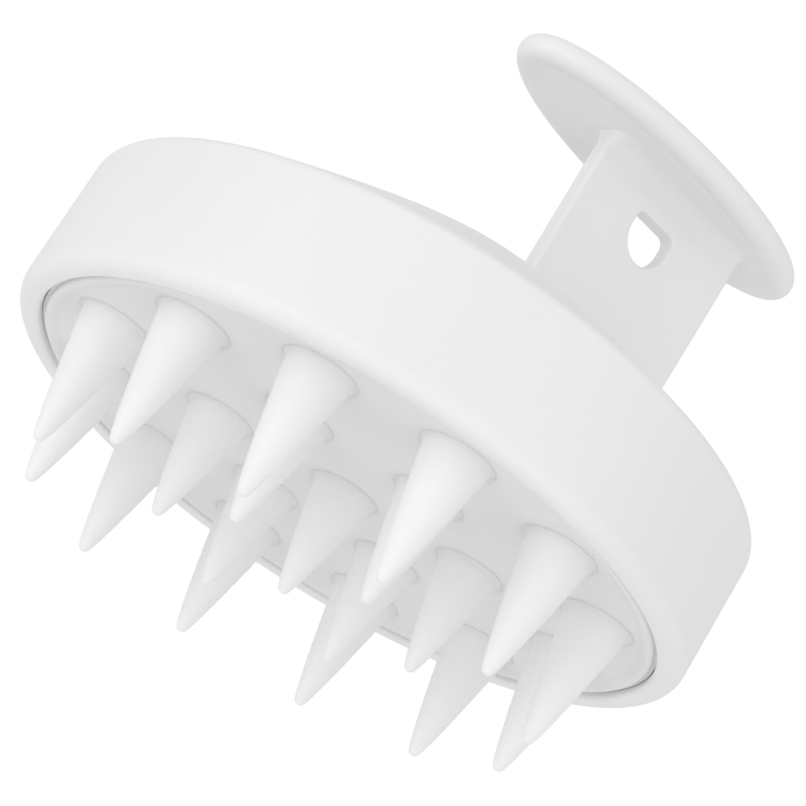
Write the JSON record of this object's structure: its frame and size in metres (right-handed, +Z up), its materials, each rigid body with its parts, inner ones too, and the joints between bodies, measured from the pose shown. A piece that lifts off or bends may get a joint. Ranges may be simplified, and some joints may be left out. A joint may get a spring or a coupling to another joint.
{
  "type": "scalp massager brush",
  "caption": "Round hand-held scalp massager: domed white head with soft conical silicone bristles, and an offset flat stem plate with hanging hole and oval finger cap.",
  "frame": {"origin": "on the head's axis, level with the tips of the outer bristles, which the brush stands on", "axes": "+Z up towards the finger cap; the flat stem plate lies in the XZ plane; +X is the side that the handle is offset to"},
  "size_m": [0.08, 0.08, 0.0713],
  "materials": {
    "hard_shell": "white satin-gloss moulded plastic",
    "inner_plastic": "plain white moulded plastic",
    "silicone_pad": "soft white silicone, satin",
    "silicone_bristle": "soft white silicone, satin"
  },
  "bodies": {
    "head": {"side_casing": "hard_shell", "top_cover": "hard_shell", "stem_plate": "hard_shell", "finger_cap": "hard_shell", "bristle_pad": "silicone_pad", "carrier_plate": "inner_plastic"},
    "outer_bristle_01": {"outer_bristle_01": "silicone_bristle"},
    "outer_bristle_02": {"outer_bristle_02": "silicone_bristle"},
    "outer_bristle_03": {"outer_bristle_03": "silicone_bristle"},
    "outer_bristle_04": {"outer_bristle_04": "silicone_bristle"},
    "outer_bristle_05": {"outer_bristle_05": "silicone_bristle"},
    "outer_bristle_06": {"outer_bristle_06": "silicone_bristle"},
    "outer_bristle_07": {"outer_bristle_07": "silicone_bristle"},
    "outer_bristle_08": {"outer_bristle_08": "silicone_bristle"},
    "outer_bristle_09": {"outer_bristle_09": "silicone_bristle"},
    "outer_bristle_10": {"outer_bristle_10": "silicone_bristle"},
    "outer_bristle_11": {"outer_bristle_11": "silicone_bristle"},
    "outer_bristle_12": {"outer_bristle_12": "silicone_bristle"},
    "inner_bristle_01": {"inner_bristle_01": "silicone_bristle"},
    "inner_bristle_02": {"inner_bristle_02": "silicone_bristle"},
    "inner_bristle_03": {"inner_bristle_03": "silicone_bristle"},
    "inner_bristle_04": {"inner_bristle_04": "silicone_bristle"},
    "inner_bristle_05": {"inner_bristle_05": "silicone_bristle"},
    "inner_bristle_06": {"inner_bristle_06": "silicone_bristle"},
    "centre_bristle": {"centre_bristle": "silicone_bristle"}
  },
  "joints": [
    {"name": "outer_bristle_01_lean", "type": "hinge", "parent": "head", "child": "outer_bristle_01", "pos_m": [0.02888, 0.00774, 0.0148], "axis": [0.2588, -0.9659, 0], "range_deg": [-15, 15], "stiffness_Nm_per_rad": 0.01},
    {"name": "outer_bristle_02_lean", "type": "hinge", "parent": "head", "child": "outer_bristle_02", "pos_m": [0.02114, 0.02114, 0.0148], "axis": [0.7071, -0.7071, 0], "range_deg": [-15, 15], "stiffness_Nm_per_rad": 0.01},
    {"name": "outer_bristle_03_lean", "type": "hinge", "parent": "head", "child": "outer_bristle_03", "pos_m": [0.00774, 0.02888, 0.0148], "axis": [0.9659, -0.2588, 0], "range_deg": [-15, 15], "stiffness_Nm_per_rad": 0.01},
    {"name": "outer_bristle_04_lean", "type": "hinge", "parent": "head", "child": "outer_bristle_04", "pos_m": [-0.00774, 0.02888, 0.0148], "axis": [0.9659, 0.2588, 0], "range_deg": [-15, 15], "stiffness_Nm_per_rad": 0.01},
    {"name": "outer_bristle_05_lean", "type": "hinge", "parent": "head", "child": "outer_bristle_05", "pos_m": [-0.02114, 0.02114, 0.0148], "axis": [0.7071, 0.7071, 0], "range_deg": [-15, 15], "stiffness_Nm_per_rad": 0.01},
    {"name": "outer_bristle_06_lean", "type": "hinge", "parent": "head", "child": "outer_bristle_06", "pos_m": [-0.02888, 0.00774, 0.0148], "axis": [0.2588, 0.9659, 0], "range_deg": [-15, 15], "stiffness_Nm_per_rad": 0.01},
    {"name": "outer_bristle_07_lean", "type": "hinge", "parent": "head", "child": "outer_bristle_07", "pos_m": [-0.02888, -0.00774, 0.0148], "axis": [-0.2588, 0.9659, 0], "range_deg": [-15, 15], "stiffness_Nm_per_rad": 0.01},
    {"name": "outer_bristle_08_lean", "type": "hinge", "parent": "head", "child": "outer_bristle_08", "pos_m": [-0.02114, -0.02114, 0.0148], "axis": [-0.7071, 0.7071, 0], "range_deg": [-15, 15], "stiffness_Nm_per_rad": 0.01},
    {"name": "outer_bristle_09_lean", "type": "hinge", "parent": "head", "child": "outer_bristle_09", "pos_m": [-0.00774, -0.02888, 0.0148], "axis": [-0.9659, 0.2588, 0], "range_deg": [-15, 15], "stiffness_Nm_per_rad": 0.01},
    {"name": "outer_bristle_10_lean", "type": "hinge", "parent": "head", "child": "outer_bristle_10", "pos_m": [0.00774, -0.02888, 0.0148], "axis": [-0.9659, -0.2588, 0], "range_deg": [-15, 15], "stiffness_Nm_per_rad": 0.01},
    {"name": "outer_bristle_11_lean", "type": "hinge", "parent": "head", "child": "outer_bristle_11", "pos_m": [0.02114, -0.02114, 0.0148], "axis": [-0.7071, -0.7071, 0], "range_deg": [-15, 15], "stiffness_Nm_per_rad": 0.01},
    {"name": "outer_bristle_12_lean", "type": "hinge", "parent": "head", "child": "outer_bristle_12", "pos_m": [0.02888, -0.00774, 0.0148], "axis": [-0.2588, -0.9659, 0], "range_deg": [-15, 15], "stiffness_Nm_per_rad": 0.01},
    {"name": "inner_bristle_01_lean", "type": "hinge", "parent": "head", "child": "inner_bristle_01", "pos_m": [0.01325, 0.00765, 0.0148], "axis": [0.5, -0.866, 0], "range_deg": [-15, 15], "stiffness_Nm_per_rad": 0.01},
    {"name": "inner_bristle_02_lean", "type": "hinge", "parent": "head", "child": "inner_bristle_02", "pos_m": [0, 0.0153, 0.0148], "axis": [1, 0, 0], "range_deg": [-15, 15], "stiffness_Nm_per_rad": 0.01},
    {"name": "inner_bristle_03_lean", "type": "hinge", "parent": "head", "child": "inner_bristle_03", "pos_m": [-0.01325, 0.00765, 0.0148], "axis": [0.5, 0.866, 0], "range_deg": [-15, 15], "stiffness_Nm_per_rad": 0.01},
    {"name": "inner_bristle_04_lean", "type": "hinge", "parent": "head", "child": "inner_bristle_04", "pos_m": [-0.01325, -0.00765, 0.0148], "axis": [-0.5, 0.866, 0], "range_deg": [-15, 15], "stiffness_Nm_per_rad": 0.01},
    {"name": "inner_bristle_05_lean", "type": "hinge", "parent": "head", "child": "inner_bristle_05", "pos_m": [0, -0.0153, 0.0148], "axis": [-1, 0, 0], "range_deg": [-15, 15], "stiffness_Nm_per_rad": 0.01},
    {"name": "inner_bristle_06_lean", "type": "hinge", "parent": "head", "child": "inner_bristle_06", "pos_m": [0.01325, -0.00765, 0.0148], "axis": [-0.5, -0.866, 0], "range_deg": [-15, 15], "stiffness_Nm_per_rad": 0.01},
    {"name": "centre_bristle_lean", "type": "hinge", "parent": "head", "child": "centre_bristle", "pos_m": [0, 0, 0.0148], "axis": [0, -1, 0], "range_deg": [-15, 15], "stiffness_Nm_per_rad": 0.01}
  ]
}
